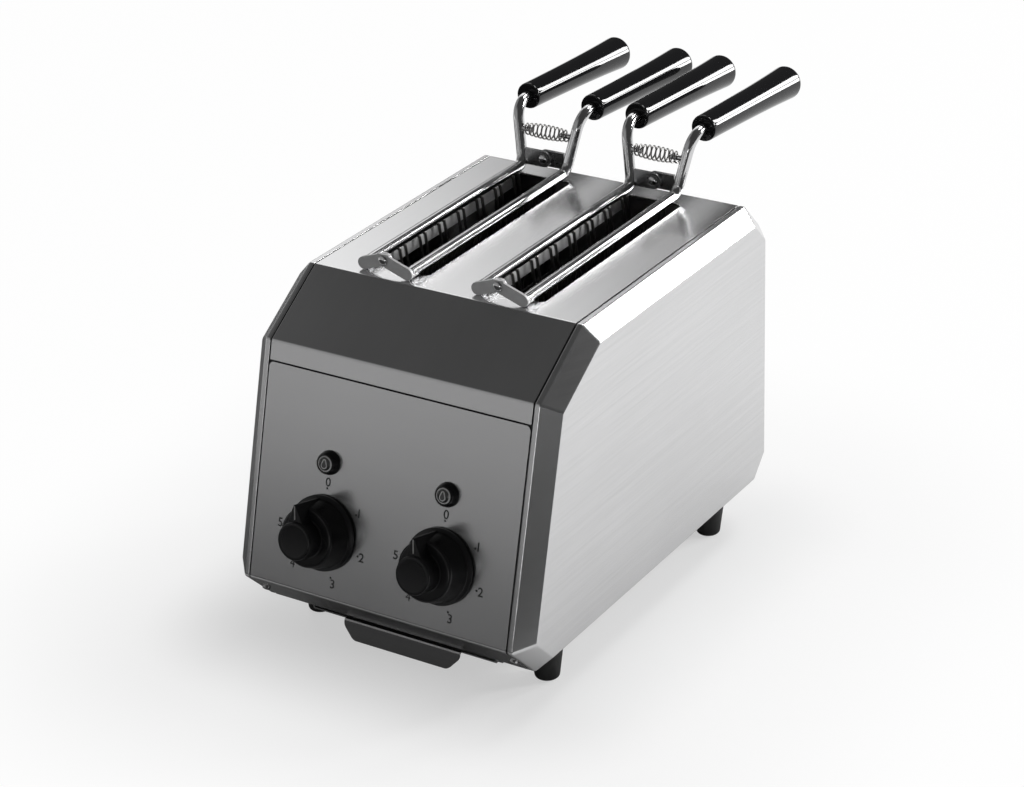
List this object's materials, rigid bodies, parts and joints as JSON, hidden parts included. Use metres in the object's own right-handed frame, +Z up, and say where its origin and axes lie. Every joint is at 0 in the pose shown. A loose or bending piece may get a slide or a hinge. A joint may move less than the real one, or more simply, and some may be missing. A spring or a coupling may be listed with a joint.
{
  "type": "tong toaster",
  "caption": "Countertop stainless-steel toaster with open top slots, lift-out spring tongs, sloping control panel with timer knobs and lamps, rubber feet and a pull-out crumb tray.",
  "frame": {"origin": "centre of the overall box in plan, on the surface the feet stand on", "axes": "+X to the right seen from the front, +Y to the back, +Z up"},
  "size_m": [0.21, 0.4294, 0.2706],
  "materials": {
    "sheet_steel": "brushed",
    "reflector": "polished",
    "fastener_steel": "plated",
    "guard_wire": "heat-stained wire",
    "quartz": "milky quartz",
    "ceramic": "matte ceramic",
    "rubber": "matte",
    "timer_case": "moulded",
    "black_plastic": "gloss",
    "black_handle": "high gloss",
    "lens": "translucent",
    "neon": "lamp",
    "gland": "moulded",
    "brass": "plain",
    "wire": "insulated",
    "tong_wire": "bright steel wire"
  },
  "bodies": {
    "toaster": {"left_side_panel": "sheet_steel", "right_side_panel": "sheet_steel", "top_cover": "sheet_steel", "control_panel": "sheet_steel", "rear_panel": "sheet_steel", "base_plate": "sheet_steel", "tray_runners": "sheet_steel", "feet": "rubber", "foot_screws": "fastener_steel", "cover_screws": "fastener_steel", "front_bulkhead": "sheet_steel", "rear_bulkhead": "sheet_steel", "left_reflector": "reflector", "right_reflector": "reflector", "left_heaters": "quartz", "centre_heaters": "quartz", "right_heaters": "quartz", "heater_caps": "ceramic", "left_outer_guard": "guard_wire", "left_inner_guard": "guard_wire", "right_inner_guard": "guard_wire", "right_outer_guard": "guard_wire", "left_timer": "timer_case", "right_timer": "timer_case", "timer_screws": "fastener_steel", "lamp_bezels": "black_plastic", "lamp_lenses": "lens", "neon_bulbs": "neon", "terminal_block": "ceramic", "cord_gland": "gland", "earth_stud": "brass", "internal_wires": "wire"},
    "left_dial": {"left_knob": "black_plastic", "left_timer_shaft": "fastener_steel"},
    "right_dial": {"right_knob": "black_plastic", "right_timer_shaft": "fastener_steel"},
    "tray": {"crumb_tray": "sheet_steel", "tray_walls": "sheet_steel"},
    "left_tong": {"left_tong_rivets": "tong_wire", "left_tong_spring": "tong_wire"},
    "left_tong_left_arm": {"left_tong_left_rod": "tong_wire", "left_tong_left_handle": "black_handle", "left_tong_left_jaw": "tong_wire", "left_tong_left_links": "tong_wire"},
    "left_tong_right_arm": {"left_tong_right_rod": "tong_wire", "left_tong_right_handle": "black_handle", "left_tong_right_jaw": "tong_wire", "left_tong_right_links": "tong_wire"},
    "right_tong": {"right_tong_rivets": "tong_wire", "right_tong_spring": "tong_wire"},
    "right_tong_left_arm": {"right_tong_left_rod": "tong_wire", "right_tong_left_handle": "black_handle", "right_tong_left_jaw": "tong_wire", "right_tong_left_links": "tong_wire"},
    "right_tong_right_arm": {"right_tong_right_rod": "tong_wire", "right_tong_right_handle": "black_handle", "right_tong_right_jaw": "tong_wire", "right_tong_right_links": "tong_wire"}
  },
  "joints": [
    {"name": "left_dial_turn", "type": "hinge", "parent": "toaster", "child": "left_dial", "pos_m": [-0.04145, -0.183, 0.08683], "axis": [0, 0.9643, -0.2647], "range_deg": [0, 278]},
    {"name": "right_dial_turn", "type": "hinge", "parent": "toaster", "child": "right_dial", "pos_m": [0.04145, -0.183, 0.08683], "axis": [0, 0.9643, -0.2647], "range_deg": [0, 278]},
    {"name": "tray_slide", "type": "slide", "parent": "toaster", "child": "tray", "axis": [0, -1, 0], "range_m": [0, 0.2]},
    {"name": "left_tong_lift", "type": "slide", "parent": "toaster", "child": "left_tong", "axis": [0, 0, 1], "range_m": [0, 0.2]},
    {"name": "left_tong_left_squeeze", "type": "hinge", "parent": "left_tong", "child": "left_tong_left_arm", "pos_m": [-0.0434, -0.00965, 0.2305], "axis": [0, 1, 0], "range_deg": [0, 9], "stiffness_Nm_per_rad": 0.8, "springref_deg": -6.88, "deforming": ["left_tong_spring"]},
    {"name": "left_tong_right_squeeze", "type": "hinge", "parent": "left_tong", "child": "left_tong_right_arm", "pos_m": [-0.0434, -0.00965, 0.2305], "axis": [0, 1, 0], "range_deg": [-9, 0], "stiffness_Nm_per_rad": 0.8, "springref_deg": 6.88},
    {"name": "right_tong_lift", "type": "slide", "parent": "toaster", "child": "right_tong", "axis": [0, 0, 1], "range_m": [0, 0.2]},
    {"name": "right_tong_left_squeeze", "type": "hinge", "parent": "right_tong", "child": "right_tong_left_arm", "pos_m": [0.0366, -0.00965, 0.2305], "axis": [0, 1, 0], "range_deg": [0, 9], "stiffness_Nm_per_rad": 0.8, "springref_deg": -6.88, "deforming": ["right_tong_spring"]},
    {"name": "right_tong_right_squeeze", "type": "hinge", "parent": "right_tong", "child": "right_tong_right_arm", "pos_m": [0.0366, -0.00965, 0.2305], "axis": [0, 1, 0], "range_deg": [-9, 0], "stiffness_Nm_per_rad": 0.8, "springref_deg": 6.88}
  ],
  "couplings": [
    {"joint": "left_tong_right_squeeze", "follows": "left_tong_left_squeeze", "ratio": -1},
    {"joint": "right_tong_right_squeeze", "follows": "right_tong_left_squeeze", "ratio": -1}
  ]
}
